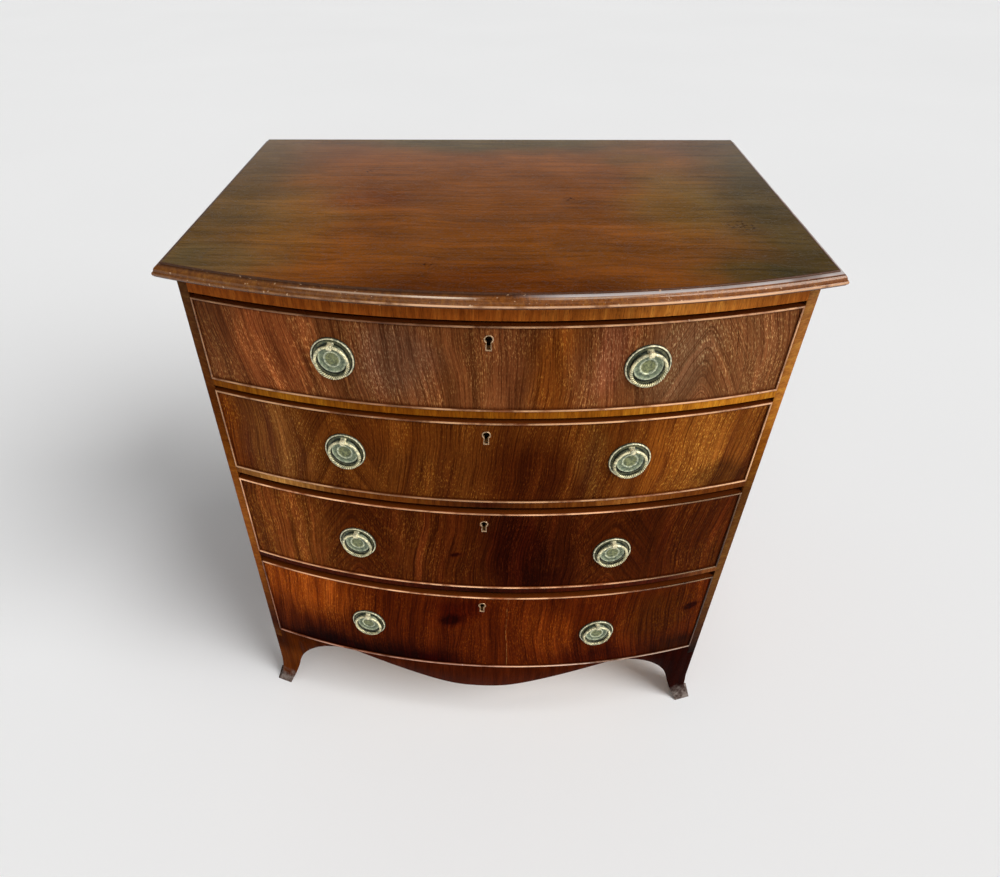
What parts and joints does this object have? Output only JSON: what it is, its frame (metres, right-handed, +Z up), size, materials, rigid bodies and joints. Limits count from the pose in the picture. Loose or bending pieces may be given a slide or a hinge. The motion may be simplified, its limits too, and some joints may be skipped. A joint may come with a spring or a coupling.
{
  "type": "chest of drawers",
  "caption": "Bow front chest with graduated long drawers, ring pulls on round plates, keyholes, a moulded top and splayed bracket feet.",
  "frame": {"origin": "on the floor, at the middle of the width and of the whole depth including the overhang of the top", "axes": "+X to the right seen from the front, +Y to the back, +Z up; the drawers open towards -Y"},
  "size_m": [0.8434, 0.6157, 0.9],
  "materials": {
    "mahogany_top": "polished, figured along the width, worn and slightly dulled",
    "crossbanded_mahogany": "waxed cross-grain veneer, amber, darker towards the base",
    "side_mahogany": "waxed straight grain, red brown",
    "figured_veneer": "polished flame veneer with upright grain and pale filled pores",
    "cockbead": "worn pale edge",
    "drawer_lining": "bare oak, planed and dusty",
    "pine": "bare pine, aged",
    "aged_brass": "cast brass with grey-green patina and rubbed high spots",
    "brass": "dull brass",
    "steel": "dull forged steel"
  },
  "bodies": {
    "carcase": {"back_boards": "pine", "blocks_and_stops": "pine", "bottom_board": "pine", "drawer_blades": "crossbanded_mahogany", "dustboards": "pine", "foot_back_left": "side_mahogany", "foot_back_right": "side_mahogany", "foot_front_left": "crossbanded_mahogany", "foot_front_right": "crossbanded_mahogany", "front_apron": "crossbanded_mahogany", "runners_and_kickers": "pine", "side_left": "side_mahogany", "side_right": "side_mahogany", "top_board": "mahogany_top", "top_moulding": "crossbanded_mahogany", "top_rail": "crossbanded_mahogany"},
    "drawer_1": {"drawer_1_back": "drawer_lining", "drawer_1_bottom": "pine", "drawer_1_cockbeads": "cockbead", "drawer_1_front": "figured_veneer", "drawer_1_lock_case": "brass", "drawer_1_plates_and_keyhole": "aged_brass", "drawer_1_sides": "drawer_lining"},
    "bolt_1": {"drawer_1_lock_bolt": "steel"},
    "ring_1_left": {"drawer_1_ring_left": "aged_brass"},
    "ring_1_right": {"drawer_1_ring_right": "aged_brass"},
    "drawer_2": {"drawer_2_back": "drawer_lining", "drawer_2_bottom": "pine", "drawer_2_cockbeads": "cockbead", "drawer_2_front": "figured_veneer", "drawer_2_lock_case": "brass", "drawer_2_plates_and_keyhole": "aged_brass", "drawer_2_sides": "drawer_lining"},
    "bolt_2": {"drawer_2_lock_bolt": "steel"},
    "ring_2_left": {"drawer_2_ring_left": "aged_brass"},
    "ring_2_right": {"drawer_2_ring_right": "aged_brass"},
    "drawer_3": {"drawer_3_back": "drawer_lining", "drawer_3_bottom": "pine", "drawer_3_cockbeads": "cockbead", "drawer_3_front": "figured_veneer", "drawer_3_lock_case": "brass", "drawer_3_plates_and_keyhole": "aged_brass", "drawer_3_sides": "drawer_lining"},
    "bolt_3": {"drawer_3_lock_bolt": "steel"},
    "ring_3_left": {"drawer_3_ring_left": "aged_brass"},
    "ring_3_right": {"drawer_3_ring_right": "aged_brass"},
    "drawer_4": {"drawer_4_back": "drawer_lining", "drawer_4_bottom": "pine", "drawer_4_cockbeads": "cockbead", "drawer_4_front": "figured_veneer", "drawer_4_lock_case": "brass", "drawer_4_plates_and_keyhole": "aged_brass", "drawer_4_sides": "drawer_lining"},
    "bolt_4": {"drawer_4_lock_bolt": "steel"},
    "ring_4_left": {"drawer_4_ring_left": "aged_brass"},
    "ring_4_right": {"drawer_4_ring_right": "aged_brass"}
  },
  "joints": [
    {"name": "drawer_1_slide", "type": "slide", "parent": "carcase", "child": "drawer_1", "axis": [0, -1, 0], "range_m": [0, 0.34]},
    {"name": "bolt_1_slide", "type": "slide", "parent": "drawer_1", "child": "bolt_1", "axis": [0, 0, 1], "range_m": [0, 0.0098]},
    {"name": "ring_1_left_hinge", "type": "hinge", "parent": "drawer_1", "child": "ring_1_left", "pos_m": [-0.2001, -0.27174, 0.8112], "axis": [-0.9859, 0.1673, 0], "range_deg": [0, 110]},
    {"name": "ring_1_right_hinge", "type": "hinge", "parent": "drawer_1", "child": "ring_1_right", "pos_m": [0.2001, -0.27174, 0.8092], "axis": [-0.9859, -0.1673, 0], "range_deg": [0, 110]},
    {"name": "drawer_2_slide", "type": "slide", "parent": "carcase", "child": "drawer_2", "axis": [0, -1, 0], "range_m": [0, 0.34]},
    {"name": "bolt_2_slide", "type": "slide", "parent": "drawer_2", "child": "bolt_2", "axis": [0, 0, 1], "range_m": [0, 0.0107]},
    {"name": "ring_2_left_hinge", "type": "hinge", "parent": "drawer_2", "child": "ring_2_left", "pos_m": [-0.2001, -0.27174, 0.66], "axis": [-0.9859, 0.1673, 0], "range_deg": [0, 110]},
    {"name": "ring_2_right_hinge", "type": "hinge", "parent": "drawer_2", "child": "ring_2_right", "pos_m": [0.2001, -0.27174, 0.6575], "axis": [-0.9859, -0.1673, 0], "range_deg": [0, 110]},
    {"name": "drawer_3_slide", "type": "slide", "parent": "carcase", "child": "drawer_3", "axis": [0, -1, 0], "range_m": [0, 0.34]},
    {"name": "bolt_3_slide", "type": "slide", "parent": "drawer_3", "child": "bolt_3", "axis": [0, 0, 1], "range_m": [0, 0.0149]},
    {"name": "ring_3_left_hinge", "type": "hinge", "parent": "drawer_3", "child": "ring_3_left", "pos_m": [-0.2001, -0.27174, 0.4764], "axis": [-0.9859, 0.1673, 0], "range_deg": [0, 110]},
    {"name": "ring_3_right_hinge", "type": "hinge", "parent": "drawer_3", "child": "ring_3_right", "pos_m": [0.2001, -0.27174, 0.4734], "axis": [-0.9859, -0.1673, 0], "range_deg": [0, 110]},
    {"name": "drawer_4_slide", "type": "slide", "parent": "carcase", "child": "drawer_4", "axis": [0, -1, 0], "range_m": [0, 0.34]},
    {"name": "bolt_4_slide", "type": "slide", "parent": "drawer_4", "child": "bolt_4", "axis": [0, 0, 1], "range_m": [0, 0.016]},
    {"name": "ring_4_left_hinge", "type": "hinge", "parent": "drawer_4", "child": "ring_4_left", "pos_m": [-0.2001, -0.27174, 0.2741], "axis": [-0.9859, 0.1673, 0], "range_deg": [0, 110]},
    {"name": "ring_4_right_hinge", "type": "hinge", "parent": "drawer_4", "child": "ring_4_right", "pos_m": [0.2001, -0.27174, 0.2711], "axis": [-0.9859, -0.1673, 0], "range_deg": [0, 110]}
  ]
}
